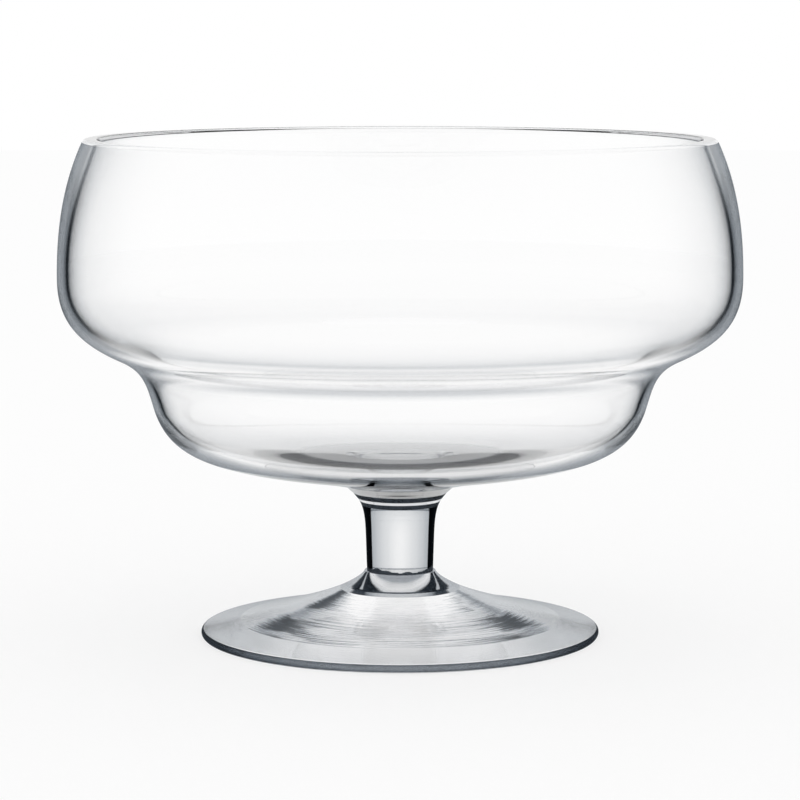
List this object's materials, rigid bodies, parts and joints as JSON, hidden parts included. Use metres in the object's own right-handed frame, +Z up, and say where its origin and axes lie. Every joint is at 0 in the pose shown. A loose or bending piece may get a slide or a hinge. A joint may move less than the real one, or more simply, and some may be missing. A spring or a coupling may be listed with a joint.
{
  "type": "centerpiece bowl",
  "caption": "Clear hand-made glass centerpiece bowl: a wide stepped bowl with a cut rim on a short solid stem and a broad spun foot, for fruit or flowers.",
  "frame": {"origin": "middle of the flat ring that the foot stands on, at table height", "axes": "+Z up along the axis that the bowl, stem and foot share; +X and +Y across it"},
  "size_m": [0.25, 0.25, 0.1834],
  "materials": {
    "bowl_glass": "clear, fire-polished, cut and polished rim",
    "stem_glass": "clear, solid, fire-polished",
    "foot_glass": "clear, with concentric marks of hand tooling"
  },
  "bodies": {
    "root": {"bowl": "bowl_glass", "stem": "stem_glass", "foot": "foot_glass"}
  },
  "joints": []
}
